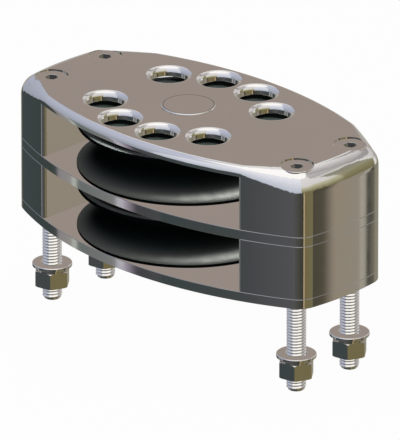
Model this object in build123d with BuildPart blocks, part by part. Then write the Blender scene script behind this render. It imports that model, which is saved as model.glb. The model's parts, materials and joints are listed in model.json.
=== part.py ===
from build123d import *
import os
from math import radians, sqrt, tan

# Double foot block: two grooved sheaves, one over the other, on one axle in a stainless housing.
# Millimetres. The origin is the middle of the four-bolt pattern, on the underside that meets the deck.
# X runs along the block towards the open end of the sheaves, Z points up, away from the deck.

# Housing in plan; its middle lies a little to the left of the bolts' middle
block_length = 200.6
housing_middle = -0.8
block_width = 105.2
side_arc_radius = 202.2
end_arc_radius = 150.0
corner_radius = 10.8

# Decks of the housing
plate_thickness = 5.0
deck_gap = 28.0
seam_chamfer = 0.2

# End pillars, which keep the plates apart; the sheaves sit nearer to the left one
left_pillar_length = 32.75
right_pillar_length = 34.45
pillar_edge_radius = 1.6

# Rounded top edge of the cover: tight along the thin sides, broad over the end pillars
side_edge_radius = 3.7
end_edge_radius = 10.5
edge_blend_run = 24.0
edge_blend_end_distance = 8.7

# Round openings in the cover, placed from the axle
opening_bore = 18.8
opening_rim_radius = 2.9
inner_pair_x = 12.75
inner_pair_y = 35.2
outer_pair_x = 35.3
outer_pair_y = 22.6
underside_chamfer = 0.4

# Through bolts and what is on them
bolt_end_distance = 15.5
bolt_spacing_y = 38.0
bolt_diameter = 9.8
bolt_beyond_nut = 7.2
bolt_point = 1.0
bolt_hole_clearance = 0.35
head_diameter = 16.4
head_rim = 1.0
head_recess = 0.7
head_seat_gap = 0.04
head_mouth_gap = 0.35
head_edge = 0.2
socket_across_flats = 6.0
socket_depth = 3.4
deck_grip = 29.0
flat_washer_diameter = 20.0
flat_washer_thickness = 1.8
washer_bore_gap = 0.3
washer_edge = 0.3
spring_washer_diameter = 16.4
spring_washer_thickness = 1.8
spring_washer_split = 1.0
spring_washer_slant = 25.0
nut_across_flats = 16.0
nut_height = 8.3
nut_bore_gap = 0.05
nut_face_diameter = 17.4
nut_face_angle = 30.0
nut_turn = 8.0

# Axle, shared by both sheaves
axle_x = -8.0
axle_diameter = 24.0
axle_head_diameter = 26.9
axle_head_height = 3.5
axle_head_proud = 0.5
axle_head_edge = 0.5
axle_head_gap = 0.25
axle_fit = 0.03
axle_spigot = 2.0
axle_screw_diameter = 6.0
axle_screw_length = 18.0
axle_screw_head = 11.3
axle_screw_recess = 0.2
countersink_angle = 90.0
axle_screw_drive = 4.0
axle_screw_drive_depth = 2.2
axle_screw_hole_spare = 2.0

# Roller bearing of each sheave
inner_race_wall = 2.47
roller_diameter = 6.0
roller_length = 18.0
roller_count = 14
roller_play = 0.05
roller_edge = 0.4
pocket_play = 0.15
cage_play = 0.6
outer_race_wall = 2.9
thrust_washer_thickness = 1.45
thrust_washer_margin = 1.2
side_play = 0.3
race_press = 0.01
ring_edge = 0.3

# Sheaves
sheave_diameter = 110.6
sheave_rim = 1.6
groove_depth = 10.3
rim_edge = 0.4

# Sizes that follow from the ones above
deck_pitch = plate_thickness + deck_gap
lower_floor = plate_thickness
upper_floor = lower_floor + deck_pitch
cover_underside = upper_floor + deck_gap
cover_top = cover_underside + plate_thickness
half_length = block_length / 2
left_end = housing_middle - half_length
right_end = housing_middle + half_length
side_arc_centre = side_arc_radius - block_width / 2
blend_end = half_length - edge_blend_end_distance
blend_start = blend_end - edge_blend_run
bolt_spacing_x = 2 * (right_end - bolt_end_distance)
bolt_head_top = cover_top - head_recess
head_cone = (head_diameter - bolt_diameter) / 2
bolt_hole_radius = bolt_diameter / 2 + bolt_hole_clearance
spring_washer_top = -deck_grip - flat_washer_thickness
nut_top = spring_washer_top - spring_washer_thickness
bolt_end = nut_top - nut_height - bolt_beyond_nut
axle_radius = axle_diameter / 2
axle_foot = plate_thickness - axle_spigot
axle_screw_cone = (axle_screw_head - axle_screw_diameter) / 2
inner_race_radius = axle_radius + axle_fit + inner_race_wall
roller_ring_radius = inner_race_radius + roller_play + roller_diameter / 2
outer_race_bore = roller_ring_radius + roller_diameter / 2 + roller_play
outer_race_radius = outer_race_bore + outer_race_wall
thrust_washer_radius = outer_race_radius + thrust_washer_margin
sheave_width = deck_gap - 2 * (thrust_washer_thickness + side_play)
sheave_radius = sheave_diameter / 2
root_radius = sheave_radius - groove_depth

os.makedirs("parts", exist_ok=True)


# Plan outline, shared by the cover, the plates and the end blocks
with BuildSketch() as plan:
    with Locations((housing_middle, side_arc_centre)):
        Circle(side_arc_radius)
    with Locations((housing_middle, -side_arc_centre)):
        Circle(side_arc_radius, mode=Mode.INTERSECT)
    with Locations((right_end - end_arc_radius, 0)):
        Circle(end_arc_radius, mode=Mode.INTERSECT)
    with Locations((left_end + end_arc_radius, 0)):
        Circle(end_arc_radius, mode=Mode.INTERSECT)
    fillet(plan.vertices(), corner_radius)

# Sections of the end pillars: the ends of the plan outline, their inner upright edges rounded
with BuildSketch() as left_pillar_plan:
    add(plan.sketch)
    split(bisect_by=Plane.YZ.offset(left_end + left_pillar_length), keep=Keep.BOTTOM)
    fillet(left_pillar_plan.vertices().group_by(Axis.X)[-1], pillar_edge_radius)
with BuildSketch() as right_pillar_plan:
    add(plan.sketch)
    split(bisect_by=Plane.YZ.offset(right_end - right_pillar_length))
    fillet(right_pillar_plan.vertices().group_by(Axis.X)[0], pillar_edge_radius)


def bolt_grid():
    return GridLocations(bolt_spacing_x, bolt_spacing_y, 2, 2)


def at_bolts(piece, label):
    """One copy of a fastener at each of the four bolts, as separate solids."""
    with BuildPart() as group:
        with bolt_grid():
            add(piece)
    group.part.label = label
    return group.part


def end_block(section, label):
    """Lower end pillar, a separate block clamped between the bottom and middle plates."""
    with BuildPart() as block:
        with BuildSketch(Plane.XY.offset(lower_floor)):
            add(section)
        extrude(amount=deck_gap)
        rims = block.edges().group_by(Axis.Z)
        chamfer(rims[0] + rims[-1], seam_chamfer)
        with BuildSketch(Plane.XY.offset(lower_floor)):
            with bolt_grid():
                Circle(bolt_hole_radius)
        extrude(amount=deck_gap, mode=Mode.SUBTRACT)
    block.part.label = label
    return block.part


# Bottom plate, which lies on the deck
with BuildPart() as bottom_plate:
    add(extrude(plan.sketch, plate_thickness))
    rims = bottom_plate.edges().group_by(Axis.Z)
    chamfer(rims[0] + rims[-1], seam_chamfer)
    with BuildSketch():
        with bolt_grid():
            Circle(bolt_hole_radius)
    extrude(amount=plate_thickness, mode=Mode.SUBTRACT)
    with Locations((axle_x, 0, plate_thickness)):
        Hole(axle_radius + axle_fit, axle_spigot)
    with Locations(Plane((axle_x, 0, 0), z_dir=(0, 0, -1))):
        CounterSinkHole(
            axle_screw_diameter / 2 + axle_fit,
            axle_screw_head / 2 + axle_fit + axle_screw_recess,
            axle_foot,
            countersink_angle,
        )
bottom_plate.part.label = "bottom_plate"
export_step(bottom_plate.part, "parts/bottom_plate.step")

# Middle plate, between the two sheaves
with BuildPart() as middle_plate:
    with BuildSketch(Plane.XY.offset(lower_floor + deck_gap)):
        add(plan.sketch)
    extrude(amount=plate_thickness)
    rims = middle_plate.edges().group_by(Axis.Z)
    chamfer(rims[0] + rims[-1], seam_chamfer)
    with BuildSketch(Plane.XY.offset(lower_floor + deck_gap)):
        with bolt_grid():
            Circle(bolt_hole_radius)
        with Locations((axle_x, 0)):
            Circle(axle_radius + axle_fit)
    extrude(amount=plate_thickness, mode=Mode.SUBTRACT)
middle_plate.part.label = "middle_plate"
export_step(middle_plate.part, "parts/middle_plate.step")

lower_end_block_left = end_block(left_pillar_plan.sketch, "lower_end_block_left")
export_step(lower_end_block_left, "parts/lower_end_block_left.step")
lower_end_block_right = end_block(right_pillar_plan.sketch, "lower_end_block_right")
export_step(lower_end_block_right, "parts/lower_end_block_right.step")


def side_point(reach):
    """Point of the plan outline's front long side on the cover's top, so far from the housing's middle."""
    return (housing_middle + reach, side_arc_centre - sqrt(side_arc_radius**2 - reach**2), cover_top)


def edge_tool_section(path, position, radius):
    """What is taken off a square edge to leave a round of this radius, drawn across the edge.

    The section's X points up and its Y points out of the housing.
    """
    with BuildSketch(Plane(path @ position, x_dir=(0, 0, 1), z_dir=path % position)) as section:
        with BuildLine():
            CenterArc((-radius, -radius), radius, 0, 90)
            Polyline(
                (-radius, 0),
                (-radius, side_edge_radius),
                (side_edge_radius, side_edge_radius),
                (side_edge_radius, -radius),
                (0, -radius),
            )
        make_face()
    return section.sketch


# Tools that round the cover's top edge along its front side
with BuildLine() as side_line:
    ThreePointArc(side_point(-blend_start), side_point(0), side_point(blend_start))
with BuildLine() as blend_line:
    ThreePointArc(side_point(blend_start), side_point((blend_start + blend_end) / 2), side_point(blend_end))
with BuildPart() as side_tool:
    sweep(edge_tool_section(side_line.line, 0, side_edge_radius), side_line.line)
with BuildPart() as blend_tool:
    sweep(
        [
            edge_tool_section(blend_line.line, 0, side_edge_radius),
            edge_tool_section(blend_line.line, 1, end_edge_radius),
        ],
        blend_line.line,
        multisection=True,
    )

# The end has the broad round all the way between the two blends
with BuildPart() as broad_plug:
    with BuildSketch(Plane.XY.offset(upper_floor)):
        add(plan.sketch)
    extrude(amount=cover_top - upper_floor)
    fillet(broad_plug.edges().group_by(Axis.Z)[-1], end_edge_radius)
blend_stop = Plane(blend_line.line @ 1, z_dir=blend_line.line % 1)
far_blend_stop = Plane(
    (blend_stop.origin.X, -blend_stop.origin.Y, cover_top),
    z_dir=(blend_stop.z_dir.X, -blend_stop.z_dir.Y, 0),
)
with BuildPart() as end_tool:
    with BuildSketch(Plane.XY.offset(cover_top - end_edge_radius)):
        add(plan.sketch)
        offset(amount=side_edge_radius)
    extrude(amount=end_edge_radius + side_edge_radius)
    add(broad_plug.part, mode=Mode.SUBTRACT)
    split(bisect_by=blend_stop)
    split(bisect_by=far_blend_stop)


def with_images(tool, *planes):
    """A tool with its mirror images in the planes."""
    tools = [tool]
    for plane in planes:
        tools += [mirror(image, about=plane) for image in tools]
    return tools


# The ends are cut first, then the blends and the sides
cross_plane = Plane.YZ.offset(housing_middle)
edge_tools = (
    with_images(end_tool.part, cross_plane)
    + with_images(blend_tool.part, Plane.XZ, cross_plane)
    + with_images(side_tool.part, Plane.XZ)
)

# Round openings in the cover, four in front of the long axis and four behind it
opening_places = [
    (axle_x + side * x, face * y)
    for side in (-1, 1)
    for face in (-1, 1)
    for x, y in ((inner_pair_x, inner_pair_y), (outer_pair_x, outer_pair_y))
]


def is_opening_edge(edge):
    return abs(edge.radius - opening_bore / 2) < underside_chamfer


# Seat of one through bolt: mouth, countersink and hole, down to the foot of the upper pillar
seat_top = bolt_head_top - head_rim - head_seat_gap + head_mouth_gap
seat_foot = seat_top - (head_diameter / 2 + head_mouth_gap - bolt_hole_radius)
with BuildPart() as bolt_seat:
    with BuildSketch(Plane.XZ):
        with BuildLine():
            Polyline(
                (0, upper_floor),
                (bolt_hole_radius, upper_floor),
                (bolt_hole_radius, seat_foot),
                (head_diameter / 2 + head_mouth_gap, seat_top),
                (head_diameter / 2 + head_mouth_gap, cover_top),
                (0, cover_top),
                close=True,
            )
        make_face()
    revolve(axis=Axis.Z)

# Blank of the top cover, in one piece with the two upper end pillars
with BuildPart() as cover_blank:
    with BuildSketch(Plane.XY.offset(upper_floor)):
        add(left_pillar_plan.sketch)
        add(right_pillar_plan.sketch)
    extrude(amount=deck_gap)
    chamfer(cover_blank.edges().group_by(Axis.Z)[0], seam_chamfer)
    with BuildSketch(Plane.XY.offset(cover_underside)):
        add(plan.sketch)
    extrude(amount=plate_thickness)

# Top cover, cut from the blank
with BuildPart() as top_cover:
    add(cover_blank.part)
    for tool in edge_tools:
        add(tool, mode=Mode.SUBTRACT)
    with BuildSketch(Plane.XY.offset(cover_underside)):
        with Locations(*opening_places):
            Circle(opening_bore / 2)
    extrude(amount=plate_thickness, mode=Mode.SUBTRACT)
    opening_edges = top_cover.edges().filter_by(GeomType.CIRCLE)
    opening_edges = opening_edges.filter_by(is_opening_edge)
    fillet(opening_edges.group_by(Axis.Z)[-1], opening_rim_radius)
    chamfer(opening_edges.group_by(Axis.Z)[0], underside_chamfer)
    with Locations((axle_x, 0, cover_top)):
        CounterBoreHole(
            axle_radius + axle_fit,
            axle_head_diameter / 2 + axle_head_gap,
            axle_head_height - axle_head_proud,
            plate_thickness,
        )
    with bolt_grid():
        add(bolt_seat.part, mode=Mode.SUBTRACT)
top_cover.part.label = "top_cover"
export_step(top_cover.part, "parts/top_cover.step")

# Countersunk bolt with a hexagon socket, running through the whole stack and the deck under it
with BuildPart() as bolt:
    with BuildSketch(Plane.XZ):
        with BuildLine():
            Polyline(
                (0, bolt_end),
                (bolt_diameter / 2 - bolt_point, bolt_end),
                (bolt_diameter / 2, bolt_end + bolt_point),
                (bolt_diameter / 2, bolt_head_top - head_rim - head_cone),
                (head_diameter / 2, bolt_head_top - head_rim),
                (head_diameter / 2, bolt_head_top),
                (0, bolt_head_top),
                close=True,
            )
        make_face()
    revolve(axis=Axis.Z)
    chamfer(bolt.edges().group_by(Axis.Z)[-1], head_edge)
    with BuildSketch(Plane.XY.offset(bolt_head_top)):
        RegularPolygon(socket_across_flats / 2, 6, major_radius=False)
    extrude(amount=-socket_depth, mode=Mode.SUBTRACT)
through_bolts = at_bolts(bolt.part, "through_bolts")
export_step(through_bolts, "parts/through_bolts.step")

# Flat washer, which bears on the far side of the deck
with BuildPart() as flat_washer:
    with BuildSketch(Plane.XY.offset(spring_washer_top)):
        Circle(flat_washer_diameter / 2)
        Circle(bolt_diameter / 2 + washer_bore_gap, mode=Mode.SUBTRACT)
    extrude(amount=flat_washer_thickness)
    chamfer(flat_washer.edges().filter_by(GeomType.CIRCLE), washer_edge)
flat_washers = at_bolts(flat_washer.part, "flat_washers")
export_step(flat_washers, "parts/flat_washers.step")

# Spring washer: a ring of square wire with a slanted split
with BuildPart() as spring_washer:
    with BuildSketch(Plane.XY.offset(nut_top)):
        Circle(spring_washer_diameter / 2)
        Circle(bolt_diameter / 2 + washer_bore_gap, mode=Mode.SUBTRACT)
    extrude(amount=spring_washer_thickness)
    with Locations((spring_washer_diameter / 2, 0, nut_top + spring_washer_thickness / 2)):
        Box(
            spring_washer_diameter,
            spring_washer_split,
            2 * spring_washer_thickness,
            rotation=(spring_washer_slant, 0, 0),
            mode=Mode.SUBTRACT,
        )
spring_washers = at_bolts(spring_washer.part, "spring_washers")
export_step(spring_washers, "parts/spring_washers.step")

# Hexagon nut, its corners turned down to a round face at both ends
nut_corner_radius = nut_across_flats / sqrt(3)
nut_corner_drop = (nut_corner_radius - nut_face_diameter / 2) * tan(radians(nut_face_angle))
with BuildPart() as nut:
    with BuildSketch(Plane.XY.offset(nut_top - nut_height)):
        RegularPolygon(nut_across_flats / 2, 6, major_radius=False, rotation=nut_turn)
    extrude(amount=nut_height)
    with BuildSketch(Plane.XZ):
        with BuildLine():
            Polyline(
                (0, nut_top),
                (nut_face_diameter / 2, nut_top),
                (nut_corner_radius, nut_top - nut_corner_drop),
                (nut_corner_radius, nut_top - nut_height + nut_corner_drop),
                (nut_face_diameter / 2, nut_top - nut_height),
                (0, nut_top - nut_height),
                close=True,
            )
        make_face()
    revolve(axis=Axis.Z, mode=Mode.INTERSECT)
    with Locations((0, 0, nut_top)):
        Hole(bolt_diameter / 2 + nut_bore_gap, nut_height)
hex_nuts = at_bolts(nut.part, "hex_nuts")
export_step(hex_nuts, "parts/hex_nuts.step")

# Axle: its head lies in the cover, its foot in the bottom plate, where a screw holds it from below
axle_shoulder = cover_top - axle_head_height + axle_head_proud
with BuildPart() as axle_pin:
    with BuildSketch(Plane.XY.offset(axle_foot)):
        with Locations((axle_x, 0)):
            Circle(axle_radius)
    extrude(amount=axle_shoulder - axle_foot)
    with BuildSketch(Plane.XY.offset(axle_shoulder)):
        with Locations((axle_x, 0)):
            Circle(axle_head_diameter / 2)
    extrude(amount=axle_head_height)
    fillet(axle_pin.edges().group_by(Axis.Z)[-1], axle_head_edge)
    with Locations(Plane((axle_x, 0, axle_foot), z_dir=(0, 0, -1))):
        Hole(
            axle_screw_diameter / 2 + axle_fit,
            axle_screw_length - axle_foot + axle_screw_recess + axle_screw_hole_spare,
        )
axle_pin.part.label = "axle_pin"
export_step(axle_pin.part, "parts/axle_pin.step")

# Countersunk screw under the axle
with BuildPart() as axle_screw:
    with BuildSketch(Plane.XZ):
        with BuildLine():
            Polyline(
                (axle_x, axle_screw_recess),
                (axle_x + axle_screw_head / 2, axle_screw_recess),
                (axle_x + axle_screw_diameter / 2, axle_screw_recess + axle_screw_cone),
                (axle_x + axle_screw_diameter / 2, axle_screw_recess + axle_screw_length),
                (axle_x, axle_screw_recess + axle_screw_length),
                close=True,
            )
        make_face()
    revolve(axis=Axis((axle_x, 0, 0), (0, 0, 1)))
    with BuildSketch(Plane.XY.offset(axle_screw_recess)):
        with Locations((axle_x, 0)):
            RegularPolygon(axle_screw_drive / 2, 6, major_radius=False)
    extrude(amount=axle_screw_drive_depth, mode=Mode.SUBTRACT)
axle_screw.part.label = "axle_screw"
export_step(axle_screw.part, "parts/axle_screw.step")


def ring(inner_radius, outer_radius, foot, height, label):
    """Plain ring round the axle, with its four edges broken."""
    with BuildPart() as piece:
        with BuildSketch(Plane.XY.offset(foot)):
            with Locations((axle_x, 0)):
                Circle(outer_radius)
                Circle(inner_radius, mode=Mode.SUBTRACT)
        extrude(amount=height)
        chamfer(piece.edges().filter_by(GeomType.CIRCLE), ring_edge)
    piece.part.label = label
    return piece.part


def make_thrust_washer(foot, label):
    return ring(inner_race_radius + axle_fit, thrust_washer_radius, foot, thrust_washer_thickness, label)


def make_sheave(foot, label):
    """Sheave with a round-bottomed groove between two thin rims."""
    middle = foot + sheave_width / 2
    groove_edge = sheave_width / 2 - sheave_rim
    bore = outer_race_radius + race_press
    with BuildPart() as sheave:
        with BuildSketch(Plane.XZ):
            with BuildLine():
                groove = ThreePointArc(
                    (axle_x + sheave_radius, middle - groove_edge),
                    (axle_x + root_radius, middle),
                    (axle_x + sheave_radius, middle + groove_edge),
                )
                Polyline(
                    groove @ 1,
                    (axle_x + sheave_radius, foot + sheave_width),
                    (axle_x + bore, foot + sheave_width),
                    (axle_x + bore, foot),
                    (axle_x + sheave_radius, foot),
                    groove @ 0,
                )
            make_face()
        revolve(axis=Axis((axle_x, 0, 0), (0, 0, 1)))
        faces = sheave.faces().filter_by(Axis.Z)
        fillet(faces.edges().filter_by(lambda edge: edge.radius > root_radius), rim_edge)
    sheave.part.label = label
    return sheave.part


def make_cage(foot, label):
    """Cage that spaces the rollers, open on both sides of each roller."""
    with BuildPart() as cage:
        with BuildSketch(Plane.XY.offset(foot)):
            with Locations((axle_x, 0)):
                Circle(outer_race_bore - cage_play)
                Circle(inner_race_radius + cage_play, mode=Mode.SUBTRACT)
        extrude(amount=sheave_width)
        with BuildSketch(Plane.XY.offset(foot + (sheave_width - roller_length) / 2 - pocket_play)):
            with Locations((axle_x, 0)):
                with PolarLocations(roller_ring_radius, roller_count):
                    Circle(roller_diameter / 2 + pocket_play)
        extrude(amount=roller_length + 2 * pocket_play, mode=Mode.SUBTRACT)
    cage.part.label = label
    return cage.part


def make_rollers(foot, label):
    """Ring of separate rollers round the axle."""
    with BuildPart() as rollers:
        with BuildSketch(Plane.XY.offset(foot + (sheave_width - roller_length) / 2)):
            with Locations((axle_x, 0)):
                with PolarLocations(roller_ring_radius, roller_count):
                    Circle(roller_diameter / 2)
        extrude(amount=roller_length)
        chamfer(rollers.edges().filter_by(GeomType.CIRCLE), roller_edge)
    rollers.part.label = label
    return rollers.part


# Sheave, races, rollers and thrust washers of each deck
for deck, floor in (("lower", lower_floor), ("upper", upper_floor)):
    sheave_foot = floor + thrust_washer_thickness + side_play
    ceiling = floor + deck_gap - thrust_washer_thickness
    pieces = [
        ring(axle_radius + axle_fit, inner_race_radius, floor, deck_gap, f"{deck}_inner_race"),
        ring(outer_race_bore, outer_race_radius, sheave_foot, sheave_width, f"{deck}_outer_race"),
        make_thrust_washer(floor, f"{deck}_thrust_washer_bottom"),
        make_thrust_washer(ceiling, f"{deck}_thrust_washer_top"),
        make_sheave(sheave_foot, f"{deck}_sheave"),
        make_cage(sheave_foot, f"{deck}_roller_cage"),
        make_rollers(sheave_foot, f"{deck}_rollers"),
    ]
    for piece in pieces:
        export_step(piece, f"parts/{piece.label}.step")
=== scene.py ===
import json
import math

import bmesh
import bpy
from mathutils import Color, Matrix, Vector

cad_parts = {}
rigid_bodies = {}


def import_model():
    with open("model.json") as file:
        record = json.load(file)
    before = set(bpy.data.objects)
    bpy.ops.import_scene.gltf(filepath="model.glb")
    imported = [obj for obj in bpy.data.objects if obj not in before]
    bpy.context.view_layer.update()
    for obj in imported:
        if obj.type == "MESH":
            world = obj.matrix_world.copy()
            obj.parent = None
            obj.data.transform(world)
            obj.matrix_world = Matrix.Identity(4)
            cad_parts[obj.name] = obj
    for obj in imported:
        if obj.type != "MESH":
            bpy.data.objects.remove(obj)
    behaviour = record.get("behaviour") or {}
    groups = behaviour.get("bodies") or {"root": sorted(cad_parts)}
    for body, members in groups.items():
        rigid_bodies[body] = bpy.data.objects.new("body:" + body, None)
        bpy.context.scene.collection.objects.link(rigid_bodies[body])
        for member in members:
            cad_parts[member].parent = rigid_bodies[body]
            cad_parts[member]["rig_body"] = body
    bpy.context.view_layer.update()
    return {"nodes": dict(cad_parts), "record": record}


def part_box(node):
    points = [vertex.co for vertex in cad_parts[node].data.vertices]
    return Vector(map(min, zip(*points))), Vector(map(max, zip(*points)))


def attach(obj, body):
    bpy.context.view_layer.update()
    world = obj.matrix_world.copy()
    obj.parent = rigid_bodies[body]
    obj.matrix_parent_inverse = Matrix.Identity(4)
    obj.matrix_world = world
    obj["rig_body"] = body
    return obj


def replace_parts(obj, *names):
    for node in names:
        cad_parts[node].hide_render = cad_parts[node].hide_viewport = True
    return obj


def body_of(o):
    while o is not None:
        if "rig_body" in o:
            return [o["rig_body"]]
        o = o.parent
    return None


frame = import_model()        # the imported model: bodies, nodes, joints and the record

nodes = frame["nodes"]
mm = 0.001
tiny = 0.001 * mm        # points closer than this are one point
print("double block: packed model loaded")


def inMm(metres):
    return round(metres / mm, 3)


def boxOf(node):
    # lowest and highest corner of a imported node, in mm
    return [[inMm(v) for v in corner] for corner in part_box(node)]


# places that several pieces share, in mm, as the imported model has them
record = frame["record"]
studs = next(mount["dims"] for mount in record["mounts"] if mount["name"] == "deck_bolts")
spinPlace = {joint["name"]: joint["pos_m"] for joint in record["behaviour"]["joints"]}
blockSet = {
    "axleX": inMm(spinPlace["lower_sheave_spin"][0]),
    "boltX": studs["spacing_x_mm"] / 2,              # the four bolts stand at plus and minus these
    "boltY": studs["spacing_y_mm"] / 2,
    "deckMiddle": {deck: inMm(spinPlace[deck + "_sheave_spin"][2]) for deck in ("lower", "upper")},
}
boltLow, boltHigh = boxOf("through_bolts")
sheaveLow, sheaveHigh = boxOf("lower_sheave")


def addObject(name, data):
    thing = bpy.data.objects.new(name, data)
    bpy.context.scene.collection.objects.link(thing)
    return thing


# camera: same angle as the picture, from far off with a long lens, so upright edges stay parallel
cameraSet = {
    "aim": (-0.036, -0.034, 11.884),    # mm, what is in the middle of the picture
    "towardsCamera": (0.6407, -0.6656, 0.3827),
    "lens": 1400.0, "sensor": 36.0,
    "frameHeight": 217.8,                # mm of object that the picture is high
    "nearest": 0.1, "farthest": 60.0,    # m, the camera sees what is between
}


def makeCamera(s):
    camData = bpy.data.cameras.new("blockCamera")
    camData.lens = s["lens"]
    camData.sensor_width = s["sensor"]
    camData.sensor_fit = "AUTO"
    camData.clip_start = s["nearest"]
    camData.clip_end = s["farthest"]
    cam = addObject("blockCamera", camData)
    away = Vector(s["towardsCamera"]).normalized()
    distance = s["frameHeight"] * s["lens"] / s["sensor"] * mm
    cam.location = Vector(s["aim"]) * mm + away * distance
    cam.rotation_euler = away.to_track_quat("Z", "Y").to_euler()
    bpy.context.scene.camera = cam


makeCamera(cameraSet)
print("camera set")


# node helpers: a value that they are given is a socket, or what to set
def feed(tree, value, target):
    if isinstance(value, bpy.types.NodeSocket):
        tree.links.new(value, target)
    else:
        target.default_value = value


def addNode(tree, kind, settings=None, **values):
    # values go to the inputs of the same names, with _ for a space
    node = tree.nodes.new(kind)
    for key, value in (settings or {}).items():
        setattr(node, key, value)
    for key, value in values.items():
        feed(tree, value, node.inputs[key.replace("_", " ")])
    return node


def maths(tree, operation, first, second=0.0):
    node = addNode(tree, "ShaderNodeMath", {"operation": operation})
    feed(tree, first, node.inputs[0])
    feed(tree, second, node.inputs[1])
    return node.outputs[0]


def vectorOf(tree, x=0.0, y=0.0, z=0.0):
    return addNode(tree, "ShaderNodeCombineXYZ", X=x, Y=y, Z=z).outputs[0]


def partsOf(tree, vector):
    return addNode(tree, "ShaderNodeSeparateXYZ", Vector=vector).outputs


def rangeOf(tree, value, low, high, fromLow=0.3, fromHigh=0.7, easing="LINEAR"):
    # fromLow to fromHigh becomes low to high; 0.3 to 0.7 is where noise has most of its values
    ranger = addNode(tree, "ShaderNodeMapRange", {"interpolation_type": easing}, Value=value,
                     From_Min=fromLow, From_Max=fromHigh, To_Min=low, To_Max=high)
    return ranger.outputs["Result"]


def between(tree, value, low, high, edge):
    # 1 between low and high and 0 outside, fading over edge on either side of both
    rises = rangeOf(tree, value, 0.0, 1.0, low - edge, low + edge)
    falls = rangeOf(tree, value, 1.0, 0.0, high - edge, high + edge)
    return maths(tree, "MULTIPLY", rises, falls)


def noiseOver(tree, place, size, stretch=(1.0, 1.0, 1.0), detail=2.0):
    # noise whose features are about size mm, stretched along the axes
    mapping = addNode(tree, "ShaderNodeMapping", {"vector_type": "POINT"}, Vector=place,
                      Scale=[1.0 / (size * mm * k) for k in stretch])
    noise = addNode(tree, "ShaderNodeTexNoise", Vector=mapping.outputs[0], Scale=1.0, Detail=detail,
                    Roughness=0.55)
    return noise.outputs["Fac"]


def mixColours(tree, share, first, second, blend="MIX"):
    # a plain colour is a tuple of three numbers
    mixer = addNode(tree, "ShaderNodeMix", {"data_type": "RGBA", "blend_type": blend})
    feed(tree, share, mixer.inputs[0])
    for slotIndex, colour in ((6, first), (7, second)):
        feed(tree, (*colour, 1.0) if isinstance(colour, tuple) else colour, mixer.inputs[slotIndex])
    return mixer.outputs[2]


def mixShaders(tree, share, first, second):
    mixer = tree.nodes.new("ShaderNodeMixShader")
    for slotIndex, value in enumerate((share, first, second)):
        feed(tree, value, mixer.inputs[slotIndex])
    return mixer.outputs[0]


def freshMaterial(name):
    mat = bpy.data.materials.new(name)
    mat.use_nodes = True
    mat.node_tree.nodes.clear()
    return mat, mat.node_tree


# finishes: sizes in a look are mm
def distanceFrom(tree, x, y, middleX, middleY):
    # how far x, y is from the upright line through the middle
    alongX = maths(tree, "SUBTRACT", x, middleX * mm)
    alongY = maths(tree, "SUBTRACT", y, middleY * mm)
    flat = vectorOf(tree, alongX, alongY)
    return addNode(tree, "ShaderNodeVectorMath", {"operation": "LENGTH"}, Vector=flat).outputs["Value"]


def darkerBevels(tree, tint, bevel):
    # painted shade: faces that lean about 45 degrees are the bevels along the seams, and they are made
    # darker by how they face
    facing = addNode(tree, "ShaderNodeNewGeometry").outputs["True Normal"]
    lean = maths(tree, "ABSOLUTE", partsOf(tree, facing)["Z"])
    leans = between(tree, lean, bevel["from"], bevel["to"], bevel["edge"])
    return mixColours(tree, leans, tint, bevel["tone"])


def darkerRound(tree, place, tint, zone):
    # painted shade: darker in a ring round the zone's upright axis, or round four that mirror one another
    x, y, z = partsOf(tree, place)
    if zone["mirrored"]:
        x = maths(tree, "ABSOLUTE", x)
        y = maths(tree, "ABSOLUTE", y)
    away = distanceFrom(tree, x, y, zone["x"], zone["y"])
    inRing = between(tree, away, zone["from"] * mm, zone["to"] * mm, zone["edge"] * mm)
    inHeight = between(tree, z, zone["above"] * mm, zone["below"] * mm, zone["edge"] * mm)
    return mixColours(tree, maths(tree, "MULTIPLY", inRing, inHeight), tint, zone["tone"])


def smudgeAndGrain(tree, place, shader, look):
    # uneven roughness and a fine grain, then the shader goes to the surface
    smudge = noiseOver(tree, place, look["smudgeSize"], detail=4.0)
    feed(tree, rangeOf(tree, smudge, look["roughLow"], look["roughHigh"]), shader.inputs["Roughness"])
    grain = noiseOver(tree, place, look["grainSize"], look["grainStretch"])
    bump = addNode(tree, "ShaderNodeBump", Strength=look["grainDepth"], Distance=look["grainHeight"] * mm,
                   Height=grain)
    feed(tree, bump.outputs["Normal"], shader.inputs["Normal"])
    addNode(tree, "ShaderNodeOutputMaterial", Surface=shader.outputs["BSDF"])


def cloudedFinish(name, look, **shaderValues):
    # two close tones in large soft clouds, with painted shade on bevels or in rings where the look has them
    mat, tree = freshMaterial(name)
    place = addNode(tree, "ShaderNodeTexCoord").outputs["Object"]
    cloud = noiseOver(tree, place, look["cloudSize"], detail=look["cloudDetail"])
    tint = mixColours(tree, rangeOf(tree, cloud, 0.0, 1.0), look["colour"], look["colourTwo"])
    if "bevel" in look:
        tint = darkerBevels(tree, tint, look["bevel"])
    if "zone" in look:
        tint = darkerRound(tree, place, tint, look["zone"])
    shader = addNode(tree, "ShaderNodeBsdfPrincipled", Base_Color=tint, **shaderValues)
    smudgeAndGrain(tree, place, shader, look)
    return mat


# polished steel: each kind is the plain one with a few values of its own
steelLook = {
    "colour": (0.71, 0.69, 0.67), "colourTwo": (0.69, 0.675, 0.66), "cloudSize": 60.0, "cloudDetail": 2.0,
    "roughLow": 0.075, "roughHigh": 0.105, "smudgeSize": 9.0,
    "grainSize": 0.5, "grainStretch": (14.0, 1.0, 1.0), "grainDepth": 0.02, "grainHeight": 0.02,
}
fastenerLook = {**steelLook, "grainStretch": (1.0, 1.0, 6.0), "roughLow": 0.09, "roughHigh": 0.14}
# painted shade on the bevels along the seams: from, to and edge are of the upright part of the normal
bevelShade = {"from": 0.55, "to": 0.85, "edge": 0.05, "tone": (0.30, 0.295, 0.29)}
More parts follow.
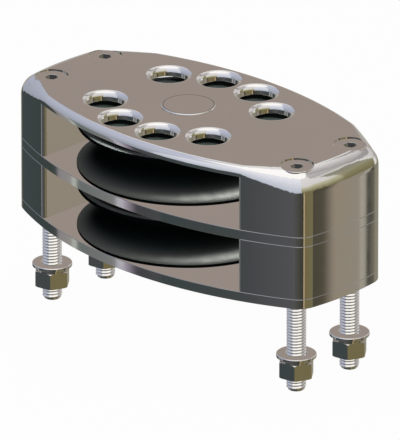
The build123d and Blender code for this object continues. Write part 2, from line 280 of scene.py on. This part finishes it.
# painted shade: a thin dark line on the axle's head, just inside its rounded edge
headShadeLine = {
    "x": blockSet["axleX"], "y": 0.0, "mirrored": False, "from": 12.4, "to": 12.95,
    "above": 60.0, "below": 80.0, "edge": 0.05, "tone": (0.30, 0.29, 0.28),
}
# painted shade inside the bolts' sockets, right to the middle, so from is below 0
socketShade = {
    "x": blockSet["boltX"], "y": blockSet["boltY"], "mirrored": True, "from": -1.0, "to": 3.6,
    "above": 60.0, "below": 70.2, "edge": 0.05, "tone": (0.33, 0.34, 0.33),
}


def steelFinish(name, look):
    return cloudedFinish(name, look, Metallic=1.0)


housingSteel = steelFinish("housingSteel", steelLook)
# painted shade: plateSteel's bevels are darker
plateSteel = steelFinish("plateSteel", {**steelLook, "bevel": bevelShade})
# painted shade: a thin dark line on axleSteel's head
axleSteel = steelFinish("axleSteel", {**steelLook, "grainStretch": (1.0, 1.0, 1.0), "zone": headShadeLine})
fastenerSteel = steelFinish("fastenerSteel", fastenerLook)
# painted shade in boltSteel's sockets
boltSteel = steelFinish("boltSteel", {**fastenerLook, "zone": socketShade})
washerSteel = steelFinish("washerSteel", {
    **steelLook, "grainStretch": (1.0, 1.0, 1.0), "roughLow": 0.1, "roughHigh": 0.16})
raceSteel = steelFinish("raceSteel", {
    **steelLook, "colour": (0.56, 0.56, 0.57), "colourTwo": (0.5, 0.5, 0.52),
    "roughLow": 0.16, "roughHigh": 0.24, "grainStretch": (1.0, 1.0, 9.0)})

# anodised sheaves, dark all over, with painted shade: darkest at the groove's root and on the flats inside
# their outer ring, paler where the flanks come near the rim; distances are from the axle
sheaveLook = {
    "root": (0.0030, 0.0052, 0.0050), "flank": (0.076, 0.079, 0.072), "flankFrom": 45.0, "flankTo": 54.5,
    "rimFrom": 55.18, "rimTo": 55.27,
    "flat": (0.006, 0.0075, 0.007), "flatRing": (0.05, 0.054, 0.052), "ringFrom": 51.0, "ringTo": 53.0,
    "levelFrom": 0.97, "levelTo": 0.995,             # upright part of the normal of a flat
    "faded": (0.8, 0.8, 0.8), "cloudSize": 22.0, "edgeGloss": (0.25, 0.26, 0.26),
    "roughLow": 0.54, "roughHigh": 0.60, "smudgeSize": 5.0,
    "grainSize": 0.35, "grainStretch": (1.0, 1.0, 1.0), "grainDepth": 0.05, "grainHeight": 0.02,
}


def sheaveFinish(name, look, middle):
    mat, tree = freshMaterial(name)
    place = addNode(tree, "ShaderNodeTexCoord").outputs["Object"]
    x, y, z = partsOf(tree, place)
    upright = partsOf(tree, addNode(tree, "ShaderNodeNewGeometry").outputs["True Normal"])["Z"]
    away = distanceFrom(tree, x, y, blockSet["axleX"], 0.0)
    # the flats face away from the sheave's middle, the groove's lips face towards it
    offset = maths(tree, "SUBTRACT", z, middle * mm)
    facesAway = maths(tree, "GREATER_THAN", maths(tree, "MULTIPLY", offset, upright), 0.0)
    inGroove = maths(tree, "SUBTRACT", 1.0, facesAway)
    level = rangeOf(tree, maths(tree, "ABSOLUTE", upright), 0.0, 1.0, look["levelFrom"], look["levelTo"])
    onFlat = maths(tree, "MULTIPLY", facesAway, level)
    # groove: painted shade, darkest at the root and paler outwards, but not on the rim's own edge
    onFlank = rangeOf(tree, away, 0.0, 1.0, look["flankFrom"] * mm, look["flankTo"] * mm, "SMOOTHSTEP")
    beforeRim = rangeOf(tree, away, 1.0, 0.0, look["rimFrom"] * mm, look["rimTo"] * mm)
    pale = maths(tree, "MULTIPLY", maths(tree, "MULTIPLY", onFlank, beforeRim), inGroove)
    grooveShade = mixColours(tree, pale, look["root"], look["flank"])
    # flats: painted shade, darker inside the paler outer ring, and a little faded in clouds
    onRing = rangeOf(tree, away, 0.0, 1.0, look["ringFrom"] * mm, look["ringTo"] * mm)
    flatShade = mixColours(tree, onRing, look["flat"], look["flatRing"])
    cloud = rangeOf(tree, noiseOver(tree, place, look["cloudSize"]), 0.0, 1.0)
    fading = mixColours(tree, cloud, (1.0, 1.0, 1.0), look["faded"])
    flatTone = mixColours(tree, 1.0, flatShade, fading, "MULTIPLY")
    shader = addNode(tree, "ShaderNodeBsdfPrincipled", Metallic=1.0,
                     Specular_Tint=(*look["edgeGloss"], 1.0),
                     Base_Color=mixColours(tree, onFlat, grooveShade, flatTone))
    smudgeAndGrain(tree, place, shader, look)
    return mat


# sheaveBlack carries the painted shade of the groove and the flats
sheaveBlack = {deck: sheaveFinish("sheaveBlack" + deck.capitalize(), sheaveLook, middle)
               for deck, middle in blockSet["deckMiddle"].items()}

# moulded polymers of the bearings
rollerLook = {
    "colour": (0.72, 0.70, 0.64), "colourTwo": (0.66, 0.64, 0.58), "cloudSize": 8.0, "cloudDetail": 3.0,
    "roughLow": 0.3, "roughHigh": 0.4, "smudgeSize": 4.0,
    "grainSize": 0.4, "grainStretch": (1.0, 1.0, 1.0), "grainDepth": 0.2, "grainHeight": 0.03,
}
cageLook = {
    **rollerLook, "colour": (0.035, 0.037, 0.04), "colourTwo": (0.028, 0.03, 0.032), "cloudSize": 12.0,
    "roughLow": 0.42, "roughHigh": 0.55, "grainSize": 0.5, "grainDepth": 0.3,
}
thrustLook = {
    **rollerLook, "colour": (0.78, 0.76, 0.70), "colourTwo": (0.74, 0.72, 0.66), "cloudSize": 10.0,
    "roughLow": 0.34, "roughHigh": 0.46, "grainSize": 0.45, "grainDepth": 0.25,
}
polymerGloss = 1.48      # index of refraction
rollerPolymer = cloudedFinish("rollerPolymer", rollerLook, IOR=polymerGloss)
cagePolymer = cloudedFinish("cagePolymer", cageLook, IOR=polymerGloss)
washerPolymer = cloudedFinish("washerPolymer", thrustLook, IOR=polymerGloss)

finishOfNode = {
    "top_cover": housingSteel, "middle_plate": plateSteel, "bottom_plate": plateSteel,
    "lower_end_block_left": plateSteel, "lower_end_block_right": plateSteel,
    "through_bolts": boltSteel, "hex_nuts": fastenerSteel,
    "flat_washers": washerSteel, "spring_washers": washerSteel,
    "axle_pin": axleSteel, "axle_screw": fastenerSteel,
}
for deck in blockSet["deckMiddle"]:
    finishOfNode[deck + "_inner_race"] = raceSteel
    finishOfNode[deck + "_outer_race"] = raceSteel
    finishOfNode[deck + "_thrust_washer_bottom"] = washerPolymer
    finishOfNode[deck + "_thrust_washer_top"] = washerPolymer
    finishOfNode[deck + "_sheave"] = sheaveBlack[deck]
    finishOfNode[deck + "_roller_cage"] = cagePolymer
    finishOfNode[deck + "_rollers"] = rollerPolymer

for nodeName, finish in finishOfNode.items():
    piece = nodes[nodeName]
    if len(piece.data.materials) == 0:
        piece.data.materials.append(finish)
    for materialSlot in piece.material_slots:
        materialSlot.material = finish
print("finishes on", len(finishOfNode), "packed nodes")


# Geometry Nodes helpers
def nodeGroup(name, inputs):
    # each named input has its first value as its default
    tree = bpy.data.node_groups.new(name, "GeometryNodeTree")
    for way in ("INPUT", "OUTPUT"):
        tree.interface.new_socket("Geometry", in_out=way, socket_type="NodeSocketGeometry")
    for key, value in inputs.items():
        kind = "NodeSocketFloat" if isinstance(value, float) else "NodeSocketMaterial"
        tree.interface.new_socket(key, in_out="INPUT", socket_type=kind).default_value = value
    return tree, tree.nodes.new("NodeGroupInput").outputs


def endTree(tree, given, geometry):
    # every tree ends in real geometry with its finish
    real = addNode(tree, "GeometryNodeRealizeInstances", Geometry=geometry)
    finished = addNode(tree, "GeometryNodeSetMaterial", Geometry=real.outputs["Geometry"],
                       Material=given["Finish"])
    addNode(tree, "NodeGroupOutput", Geometry=finished.outputs["Geometry"])


def moved(tree, geometry, shift, turn=(0.0, 0.0, 0.0)):
    mover = addNode(tree, "GeometryNodeTransform", Geometry=geometry, Translation=shift, Rotation=turn)
    return mover.outputs["Geometry"]


def joined(tree, *geometries):
    joint = tree.nodes.new("GeometryNodeJoinGeometry")
    for geometry in geometries:
        feed(tree, geometry, joint.inputs["Geometry"])
    return joint.outputs["Geometry"]


def sweepAlong(tree, path, section, **values):
    # carries the section along the path and keeps it upright
    upright = addNode(tree, "GeometryNodeSetCurveNormal", {"mode": "Z_UP"}, Curve=path)
    sweep = addNode(tree, "GeometryNodeCurveToMesh", Curve=upright.outputs["Curve"], Profile_Curve=section,
                    **values)
    return sweep.outputs["Mesh"]


def grow(name, startMesh, tree, inputs):
    # runs the tree on a mesh and keeps the result as a plain mesh
    source = addObject(name + "Source", startMesh)
    modifier = source.modifiers.new(name, "NODES")
    modifier.node_group = tree
    for item in tree.interface.items_tree:
        if item.item_type == "SOCKET" and item.in_out == "INPUT" and item.name in inputs:
            modifier[item.identifier] = inputs[item.name]
    graph = bpy.context.evaluated_depsgraph_get()
    mesh = bpy.data.meshes.new_from_object(source.evaluated_get(graph))
    source.modifiers.clear()
    bpy.data.objects.remove(source)
    mesh.name = name
    return addObject(name, mesh)


def shadeByAngle(mesh, degrees):
    mesh.shade_smooth()
    mesh.set_sharp_from_angle(angle=math.radians(degrees))


# top cover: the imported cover, merged, with smoother normals on its edge round only
coverSet = {
    "node": "top_cover", "bandFoot": 60.3,           # the edge round is above this
    "boltClear": 8.9, "axleClear": 14.0,             # and this far from each hole's middle
    "openingClear": 12.5, "openings": ((12.75, 35.2), (35.3, 22.6)),    # from the axle, both ways
    "leanFrom": 0.01, "leanTo": 0.9995,              # its faces are neither upright nor level,
    "cornerFrom": 0.002, "cornerTo": 0.9999,         # nor are the corner normals that are smoothed
}


def makeCover(s):
    packed = nodes[s["node"]].data
    # x and y of each hole's middle, and how far the smoothing stays from it
    holes = [(blockSet["axleX"], 0.0, s["axleClear"])]
    for side, face in ((-1, -1), (-1, 1), (1, -1), (1, 1)):
        holes.append((side * blockSet["boltX"], face * blockSet["boltY"], s["boltClear"]))
        for x, y in s["openings"]:
            holes.append((blockSet["axleX"] + side * x, face * y, s["openingClear"]))

    def spot(point):
        return tuple(round(v / tiny) for v in point)

    def onEdgeRound(point):
        return point.z / mm > s["bandFoot"] and all(
            math.hypot(point.x / mm - x, point.y / mm - y) > clear for x, y, clear in holes)

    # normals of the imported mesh, by corner point and facing
    packedNormals = {}
    for polygon in packed.polygons:
        for loopIndex in polygon.loop_indices:
            loop = packed.loops[loopIndex]
            where = spot(packed.vertices[loop.vertex_index].co)
            packedNormals.setdefault(where, []).append((polygon.normal.copy(), loop.normal.copy()))
    bm = bmesh.new()
    bm.from_mesh(packed)
    bmesh.ops.remove_doubles(bm, verts=bm.verts, dist=tiny)
    bmesh.ops.dissolve_degenerate(bm, edges=bm.edges, dist=tiny)
    mesh = bpy.data.meshes.new("topCover")
    bm.to_mesh(mesh)
    bm.free()
    mesh.shade_smooth()
    # area-weighted normals at each point of the edge round
    evened = {}
    rounded = set()
    for polygon in mesh.polygons:
        if s["leanFrom"] < abs(polygon.normal.z) < s["leanTo"] and onEdgeRound(polygon.center):
            rounded.add(polygon.index)
            for vertexIndex in polygon.vertices:
                weighted = polygon.normal * polygon.area
                evened[vertexIndex] = evened.get(vertexIndex, Vector()) + weighted
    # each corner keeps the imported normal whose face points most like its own, or gets the smoother one
    cornerNormals = []
    for polygon in mesh.polygons:
        for loopIndex in polygon.loop_indices:
            vertexIndex = mesh.loops[loopIndex].vertex_index
            best = polygon.normal
            options = packedNormals.get(spot(mesh.vertices[vertexIndex].co), [])
            if options:
                best = max(options, key=lambda pair: pair[0].dot(polygon.normal))[1]
            if polygon.index in rounded and abs(best.z) > s["cornerFrom"] and best.z < s["cornerTo"]:
                best = evened[vertexIndex]
            cornerNormals.append(best.normalized())
    mesh.normals_split_custom_set(cornerNormals)
    mesh.materials.clear()
    mesh.materials.append(housingSteel)
    cover = addObject("topCover", mesh)
    print("cover:", len(mesh.polygons), "faces,", len(rounded), "on the edge round")
    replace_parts(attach(cover, "housing"), s["node"])


makeCover(coverSet)


# through bolts: countersunk head with a hexagon socket, threaded shank
boltSet = {
    "radius": studs["stud_r_mm"], "top": boltHigh[2], "end": boltLow[2], "tipEdge": 0.2,
    "headRadius": 8.2, "headRim": 1.0, "headEdge": 0.2,
    "socketAcross": 6.0, "socketDepth": 3.4, "socketEdge": 0.08,
    "drillPoint": 1.4,                               # depth of the drilled point under the socket
    "threadTop": 3.0, "neck": 0.6,                   # the shank narrows to the core over the neck
    "pitch": 1.58, "threadDepth": 0.85, "crest": 0.2,
    "footShare": 0.93,                               # how much of the pitch a turn's foot covers
    "sink": 0.1,                                     # how deep the turns sit in the core
    "threadStart": 0.5, "threadStop": 1.2,           # gaps at the bolt's end and under the thread's top
    "runOutTurns": 0.3, "runOutScale": 0.25,         # the turns start this small and grow over so many
    "segments": 96, "stepsPerTurn": 40, "smoothUpTo": 28.0,
}


def makeBoltBlank(s):
    bm = bmesh.new()
    count = s["segments"]
    angles = [2 * math.pi * k / count for k in range(count)]

    def ring(radii, z):
        return [bm.verts.new((r * mm * math.cos(angle), r * mm * math.sin(angle), z * mm))
                for r, angle in zip(radii, angles)]

    def skin(rings):
        for low, high in zip(rings, rings[1:]):
            for k in range(count):
                n = (k + 1) % count
                bm.faces.new((low[k], low[n], high[n], high[k]))

    cone = s["headRadius"] - s["radius"]
    core = s["radius"] - s["threadDepth"]
    outline = [
        (s["headRadius"] - s["headEdge"], s["top"]),
        (s["headRadius"], s["top"] - s["headEdge"]),
        (s["headRadius"], s["top"] - s["headRim"]),
        (s["radius"], s["top"] - s["headRim"] - cone),
        (s["radius"], s["threadTop"]),
        (core, s["threadTop"] - s["neck"]),
        (core, s["end"] + s["tipEdge"]),
        (core - s["tipEdge"], s["end"]),
    ]
    outside = [ring([r] * count, z) for r, z in outline]
    skin(outside)
    bm.faces.new(outside[-1])
    # hexagon socket: its rim has as many points as the head, so the top is a clean band
    sixth = math.pi / 3
    flat = s["socketAcross"] / 2
    hexagon = [flat / math.cos((angle + sixth / 2) % sixth - sixth / 2) for angle in angles]
    floorLevel = s["top"] - s["socketDepth"]
    inside = [
        outside[0],
        ring([r + s["socketEdge"] for r in hexagon], s["top"]),
        ring(hexagon, s["top"] - s["socketEdge"]),
        ring(hexagon, floorLevel),
    ]
    skin(inside)
    tip = bm.verts.new((0.0, 0.0, (floorLevel - s["drillPoint"]) * mm))
    for k in range(count):
        bm.faces.new((inside[-1][k], inside[-1][(k + 1) % count], tip))
    bmesh.ops.recalc_face_normals(bm, faces=bm.faces)
    mesh = bpy.data.meshes.new("boltBlank")
    bm.to_mesh(mesh)
    bm.free()
    return mesh


def boltInputs(s):
    threadFoot = s["end"] + s["threadStart"]
    threadHeight = s["threadTop"] - s["threadStop"] - threadFoot
    return {
        "Spacing X": 2 * blockSet["boltX"] * mm,
        "Spacing Y": 2 * blockSet["boltY"] * mm,
        "Pitch": s["pitch"] * mm,
        "Thread Turns": threadHeight / s["pitch"],
        "Thread Foot": threadFoot * mm,
        "Core Radius": (s["radius"] - s["threadDepth"]) * mm,
        "Thread Depth": s["threadDepth"] * mm,
        "Crest": s["crest"] * mm,
        "Foot Share": s["footShare"],
        "Sink": s["sink"] * mm,
        "Run-out Turns": s["runOutTurns"],
        "Run-out Scale": s["runOutScale"],
        "Finish": boltSteel,
    }


def boltTree(s, inputs):
    # puts a helical thread on the blank and sets four of them out at the spacing
    tree, given = nodeGroup("threadedBolts", inputs)
    turns = given["Thread Turns"]
    # reversed, the spiral is a right-hand thread
    helix = addNode(tree, "GeometryNodeCurveSpiral", Resolution=s["stepsPerTurn"], Rotations=turns,
                    Start_Radius=given["Core Radius"], End_Radius=given["Core Radius"],
                    Height=maths(tree, "MULTIPLY", given["Pitch"], turns), Reverse=True)
    # section of the thread: a low trapezoid that points away from the core
    height = maths(tree, "ADD", given["Thread Depth"], given["Sink"])
    section = addNode(tree, "GeometryNodeCurvePrimitiveQuadrilateral", {"mode": "TRAPEZOID"}, Height=height,
                      Bottom_Width=maths(tree, "MULTIPLY", given["Pitch"], given["Foot Share"]),
                      Top_Width=given["Crest"], Offset=0.0)
    outwards = maths(tree, "SUBTRACT", maths(tree, "MULTIPLY", height, 0.5), given["Sink"])
    section = moved(tree, section.outputs["Curve"], vectorOf(tree, outwards), (0.0, 0.0, math.radians(-90)))
    # the lowest part of a turn runs out
    along = addNode(tree, "GeometryNodeSplineParameter").outputs["Factor"]
    scale = rangeOf(tree, maths(tree, "MULTIPLY", along, turns), given["Run-out Scale"], 1.0,
                    0.0, given["Run-out Turns"])
    thread = sweepAlong(tree, helix.outputs["Curve"], section, Scale=scale, Fill_Caps=True)
    thread = moved(tree, thread, vectorOf(tree, 0.0, 0.0, given["Thread Foot"]))
    places = addNode(tree, "GeometryNodeMeshGrid", Vertices_X=2, Vertices_Y=2,
                     Size_X=given["Spacing X"], Size_Y=given["Spacing Y"])
    copies = addNode(tree, "GeometryNodeInstanceOnPoints", Points=places.outputs["Mesh"],
                     Instance=joined(tree, given["Geometry"], thread))
    endTree(tree, given, copies.outputs["Instances"])
    return tree


boltValues = boltInputs(boltSet)
bolts = grow("throughBolts", makeBoltBlank(boltSet), boltTree(boltSet, boltValues), boltValues)
shadeByAngle(bolts.data, boltSet["smoothUpTo"])
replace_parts(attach(bolts, "housing"), "through_bolts")
print("bolts:", len(bolts.data.polygons), "faces")


# sheaves: one section, an arc between two thin rims, carried round the axle
sheaveSet = {
    "radius": sheaveHigh[0] - blockSet["axleX"], "width": sheaveHigh[2] - sheaveLow[2],
    "root": 45.0, "bore": 23.51, "rim": 1.6, "edge": 0.4,
    "arcSteps": 40, "edgeSteps": 4, "roundSteps": 256, "smoothUpTo": 30.0,
}


def sheaveInputs(s, deck):
    return {
        "Axle X": blockSet["axleX"] * mm,
        "Middle": blockSet["deckMiddle"][deck] * mm,
        "Radius": s["radius"] * mm,
        "Root Radius": s["root"] * mm,
        "Bore Radius": s["bore"] * mm,
        "Width": s["width"] * mm,
        "Rim": s["rim"] * mm,
        "Edge": s["edge"] * mm,
        "Finish": sheaveBlack[deck],
    }


def lineThrough(tree, corners):
    # an open line of straight runs through the corners
    line = addNode(tree, "GeometryNodeMeshLine", Count=len(corners))
    switch = addNode(tree, "GeometryNodeIndexSwitch", {"data_type": "VECTOR"})
    while len(switch.index_switch_items) < len(corners):
        switch.index_switch_items.new()
    feed(tree, addNode(tree, "GeometryNodeInputIndex").outputs["Index"], switch.inputs["Index"])
    for number, corner in enumerate(corners):
        feed(tree, corner, switch.inputs[str(number)])
    placed = addNode(tree, "GeometryNodeSetPosition", Geometry=line.outputs["Mesh"],
                     Position=switch.outputs["Output"])
    return addNode(tree, "GeometryNodeMeshToCurve", Mesh=placed.outputs["Geometry"]).outputs["Curve"]


def sheaveTree(s, inputs):
    tree, given = nodeGroup("groovedSheave", inputs)
    # the section is drawn about the bore line: X against the radius, Y against the height
    reach = maths(tree, "SUBTRACT", given["Radius"], given["Bore Radius"])
    depth = maths(tree, "SUBTRACT", given["Root Radius"], given["Bore Radius"])
    half = maths(tree, "MULTIPLY", given["Width"], 0.5)
    lower = maths(tree, "MULTIPLY", half, -1.0)
    groove = maths(tree, "SUBTRACT", half, given["Rim"])
    grooveLow = maths(tree, "MULTIPLY", groove, -1.0)
    upperLip = vectorOf(tree, reach, groove)
    lowerLip = vectorOf(tree, reach, grooveLow)
    arc = addNode(tree, "GeometryNodeCurveArc", {"mode": "POINTS"}, Resolution=s["arcSteps"],
                  Start=upperLip, Middle=vectorOf(tree, depth), End=lowerLip)
    outline = lineThrough(tree, [
        upperLip, vectorOf(tree, reach, half), vectorOf(tree, 0.0, half),
        vectorOf(tree, 0.0, lower), vectorOf(tree, reach, lower), lowerLip,
    ])
    eased = addNode(tree, "GeometryNodeFilletCurve", {"mode": "POLY"}, Curve=outline, Count=s["edgeSteps"],
                    Radius=given["Edge"])
    path = addNode(tree, "GeometryNodeCurvePrimitiveCircle", Resolution=s["roundSteps"],
                   Radius=given["Bore Radius"])
    section = joined(tree, arc.outputs["Curve"], eased.outputs["Curve"])
    wheel = sweepAlong(tree, path.outputs["Curve"], section)
    closed = addNode(tree, "GeometryNodeMergeByDistance", Geometry=wheel, Distance=tiny)
    seat = vectorOf(tree, given["Axle X"], 0.0, given["Middle"])
    endTree(tree, given, moved(tree, closed.outputs["Geometry"], seat))
    return tree


sheaveGroup = sheaveTree(sheaveSet, sheaveInputs(sheaveSet, "lower"))
for deck in blockSet["deckMiddle"]:
    sheave = grow(deck + "Sheave", bpy.data.meshes.new("empty"), sheaveGroup, sheaveInputs(sheaveSet, deck))
    bm = bmesh.new()
    bm.from_mesh(sheave.data)
    bmesh.ops.recalc_face_normals(bm, faces=bm.faces)
    bm.to_mesh(sheave.data)
    bm.free()
    shadeByAngle(sheave.data, sheaveSet["smoothUpTo"])
    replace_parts(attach(sheave, deck + "_sheave_body"), deck + "_sheave")
    print(deck, "sheave:", len(sheave.data.polygons), "faces")


# studio: pale floor, white surroundings, two lamps, and cards that only the polished steel sees
studioSet = {
    "floorSide": 16.0,                               # m
    "floorGap": 0.05,                                # mm between the bolts' ends and the floor
    "floorColour": (0.9, 0.9, 0.9, 1.0),
    "floorGlow": 0.97,                               # how much of what the camera sees of it is plain white
    "seenLight": 1.0, "worldLight": 0.5,             # the white as it is seen, and as it lights pieces
    "steelGives": 0.70,                              # share of a card's light that the steel gives back
    "cardDistance": 3.0, "cardStep": 3.0,            # m from the block, and degrees to a face
    "lowCardsFoot": -60.0, "lowCardsHead": -8.0,     # elevations in degrees
    "lampDistance": 1.8,                             # m
}


def makeFloor(s):
    mat, tree = freshMaterial("paleFloor")
    diffuse = addNode(tree, "ShaderNodeBsdfDiffuse", Color=s["floorColour"])
    glow = addNode(tree, "ShaderNodeEmission", Strength=1.0)
    fromCamera = addNode(tree, "ShaderNodeLightPath").outputs["Is Camera Ray"]
    share = maths(tree, "MULTIPLY", fromCamera, s["floorGlow"])
    addNode(tree, "ShaderNodeOutputMaterial",
            Surface=mixShaders(tree, share, diffuse.outputs[0], glow.outputs[0]))
    mesh = bpy.data.meshes.new("paleFloor")
    level = (boltSet["end"] - s["floorGap"]) * mm
    half = s["floorSide"] / 2
    corners = [(-half, -half, level), (half, -half, level), (half, half, level), (-half, half, level)]
    mesh.from_pydata(corners, [], [(0, 1, 2, 3)])
    mesh.materials.append(mat)
    floor = addObject("paleFloor", mesh)
    floor.visible_glossy = False


def makeWorld(s):
    world = bpy.data.worlds.new("whiteStudio")
    bpy.context.scene.world = world
    world.use_nodes = True
    tree = world.node_tree
    tree.nodes.clear()
    white = (1.0, 1.0, 1.0, 1.0)
    seen = addNode(tree, "ShaderNodeBackground", Color=white, Strength=s["seenLight"])
    light = addNode(tree, "ShaderNodeBackground", Color=white, Strength=s["worldLight"])
    rays = addNode(tree, "ShaderNodeLightPath").outputs
    isSeen = maths(tree, "MAXIMUM", rays["Is Camera Ray"], rays["Is Glossy Ray"])
    isSeen = maths(tree, "MAXIMUM", isSeen, rays["Is Transmission Ray"])
    addNode(tree, "ShaderNodeOutputWorld",
            Surface=mixShaders(tree, isSeen, light.outputs[0], seen.outputs[0]))
    world.cycles.sampling_method = "NONE"


def sceneLight(rgb):
    # an 8-bit screen colour as light, raised by what the steel doesn't give back
    linear = Color([value / 255 for value in rgb]).from_srgb_to_scene_linear()
    return tuple(value / studioSet["steelGives"] for value in linear)


def wayTo(azimuth, elevation):
    # azimuth 0 is +X and 90 is +Y, in degrees, and past 360 it goes on round
    a = math.radians(azimuth)
    e = math.radians(elevation)
    return Vector((math.cos(e) * math.cos(a), math.cos(e) * math.sin(a), math.sin(e)))


def cardGlow(name, colour, toColour, fade):
    mat, tree = freshMaterial(name)
    tone = (*sceneLight(colour), 1.0)
    if toColour:
        across = partsOf(tree, addNode(tree, "ShaderNodeUVMap", {"uv_map": "across"}).outputs["UV"])
        tone = mixColours(tree, across[fade], sceneLight(colour), sceneLight(toColour))
    glow = addNode(tree, "ShaderNodeEmission", Color=tone, Strength=1.0)
    addNode(tree, "ShaderNodeOutputMaterial", Surface=glow.outputs["Emission"])
    mat.cycles.emission_sampling = "NONE"
    return mat


def makeCard(name, fromAzimuth, toAzimuth, foot, head, colour, toColour=None, fade="X"):
    # a curved card on a ball round the block, in one colour or fading sideways, X, or upwards, Y
    step = studioSet["cardStep"]
    columns = max(2, int((toAzimuth - fromAzimuth) / step))
    rows = max(2, int((head - foot) / step))
    grid = [(i / columns, j / rows) for j in range(rows + 1) for i in range(columns + 1)]
    verts = [wayTo(fromAzimuth + (toAzimuth - fromAzimuth) * u, foot + (head - foot) * v)
             * studioSet["cardDistance"] for u, v in grid]
    above = columns + 1
    faces = [(k, k + 1, k + 1 + above, k + above)
             for j in range(rows) for k in range(j * above, j * above + columns)]
    mesh = bpy.data.meshes.new(name)
    mesh.from_pydata(verts, [], faces)
    layer = mesh.uv_layers.new(name="across")
    for loop in mesh.loops:
        layer.data[loop.index].uv = grid[loop.vertex_index]
    mesh.materials.append(cardGlow(name, colour, toColour, fade))
    card = addObject(name, mesh)
    card.visible_camera = False
    card.visible_diffuse = False
    card.visible_shadow = False
    card.visible_transmission = False


makeFloor(studioSet)
makeWorld(studioSet)
# below the block: name, from and to in azimuth, colour at the start, colour at the end
lowCards = [
    ("slateCardLeft", 170.0, 195.5, (58, 66, 68), (54, 63, 61)),
    ("paleWindow", 195.5, 203.0, (136, 132, 136), (138, 136, 134)),
    ("mintEdge", 203.0, 205.6, (170, 175, 168), None),
    ("greyCard", 205.6, 223.0, (98, 106, 105), (117, 119, 119)),
    ("lavenderWindow", 223.0, 226.0, (176, 178, 186), (178, 175, 186)),
    ("lavenderFade", 226.0, 231.0, (162, 154, 170), (60, 58, 64)),
    ("slateEdge", 231.0, 240.0, (62, 62, 66), (70, 73, 75)),
    ("greenWall", 240.0, 268.0, (58, 66, 67), (64, 70, 71)),
    ("purpleWall", 268.0, 290.0, (66, 70, 72), (86, 86, 90)),
    ("greenCorner", 290.0, 336.0, (78, 79, 79), (56, 56, 45)),
    ("pinkStrip", 336.0, 341.0, (190, 168, 140), None),
    ("oliveCard", 341.0, 384.5, (112, 102, 68), (112, 107, 80)),
    ("darkOlive", 384.5, 393.6, (64, 62, 54), (78, 74, 62)),
    ("oliveRamp", 393.6, 398.9, (78, 74, 62), (144, 135, 122)),
    ("brownWall", 398.9, 413.0, (143, 133, 118), (140, 135, 123)),
    ("brownLight", 413.0, 416.8, (166, 162, 150), (150, 146, 134)),
    ("darkPost", 416.8, 419.6, (62, 63, 59), None),
    ("postFoot", 419.6, 421.0, (108, 103, 88), None),
    ("sandWall", 421.0, 500.0, (128, 124, 110), (138, 134, 120)),
    ("sandWallBack", 500.0, 530.0, (138, 134, 120), (94, 92, 84)),
]
# the rest: name, from and to in azimuth, lowest and highest elevation, two colours, way that they fade
otherCards = [
    ("slateFloor", 0.0, 360.0, -89.9, -60.0, (50, 58, 57), None, "X"),
    ("warmWall", 119.0, 149.0, 10.0, 35.0, (147, 137, 131), None, "Y"),
    ("paleSill", 84.0, 170.0, -8.0, 10.0, (176, 172, 168), (150, 146, 144), "Y"),
    ("lavenderSide", 149.0, 210.0, 10.0, 62.0, (160, 166, 182), (184, 190, 210), "Y"),
    ("lavenderFoot", 170.0, 210.0, -8.0, 10.0, (150, 154, 168), (160, 166, 182), "Y"),
    ("lavenderEdge", 210.0, 240.0, -8.0, 62.0, (140, 148, 162), (192, 197, 214), "Y"),
    ("paleSky", 240.0, 325.0, -8.0, 62.0, (180, 188, 202), (228, 230, 240), "Y"),
    ("oliveTrees", 325.0, 400.0, -8.0, 18.0, (112, 107, 70), (192, 190, 164), "Y"),
    ("oliveEnd", 400.0, 424.0, -8.0, 18.0, (112, 107, 74), (138, 134, 106), "Y"),
    ("silverLeft", 325.0, 400.0, 18.0, 62.0, (206, 205, 204), (216, 215, 216), "Y"),
    ("greyShelf", 400.0, 420.0, 18.0, 37.0, (144, 141, 116), (132, 130, 120), "Y"),
    ("brightRail", 400.0, 424.0, 37.0, 42.0, (198, 197, 192), (202, 200, 198), "Y"),
    ("silverRise", 400.0, 424.0, 42.0, 62.0, (168, 166, 166), (190, 188, 190), "Y"),
    ("silverLow", 424.0, 479.0, 10.0, 34.0, (190, 188, 186), (204, 202, 202), "Y"),
    ("silverBandFoot", 424.0, 479.0, 34.0, 42.0, (156, 153, 154), (148, 146, 146), "X"),
    ("silverBand", 424.0, 474.0, 42.0, 60.0, (156, 153, 154), (214, 212, 212), "X"),
    ("topSoftbox", 0.0, 360.0, 64.0, 89.9, (250, 250, 250), None, "X"),
]
for cardName, start, stop, colour, toColour in lowCards:
    makeCard(cardName, start, stop, studioSet["lowCardsFoot"], studioSet["lowCardsHead"], colour, toColour)
for cardValues in otherCards:
    makeCard(*cardValues)
print("studio cards:", len(lowCards) + len(otherCards))

# the key lamp lights the sheaves only, and no piece mirrors the fill lamp
lampSet = {
    "keyLamp": {"azimuth": 80.0, "elevation": 68.0, "size": 1.1, "power": 760.0, "glossy": True},
    "fillLamp": {"azimuth": -110.0, "elevation": 50.0, "size": 1.2, "power": 8.0, "glossy": False},
}


def makeLamp(name, s):
    lampData = bpy.data.lights.new(name, "AREA")
    lampData.shape = "SQUARE"
    lampData.size = s["size"]
    lampData.energy = s["power"]
    lamp = addObject(name, lampData)
    way = wayTo(s["azimuth"], s["elevation"])
    lamp.location = way * studioSet["lampDistance"]
    lamp.rotation_euler = way.to_track_quat("Z", "Y").to_euler()
    lamp.visible_glossy = s["glossy"]
    return lamp


lamps = {name: makeLamp(name, s) for name, s in lampSet.items()}
sheavesOnly = bpy.data.collections.new("sheavesOnly")
for deck in blockSet["deckMiddle"]:
    sheavesOnly.objects.link(bpy.data.objects[deck + "Sheave"])
lamps["keyLamp"].light_linking.receiver_collection = sheavesOnly
print("lamps:", len(lamps))

for piece in list(bpy.context.scene.objects):
    if piece.type == "MESH" and body_of(piece):
        piece.visible_glossy = False      # as in the picture, no part mirrors another

bpy.context.scene.view_settings.view_transform = "Standard"
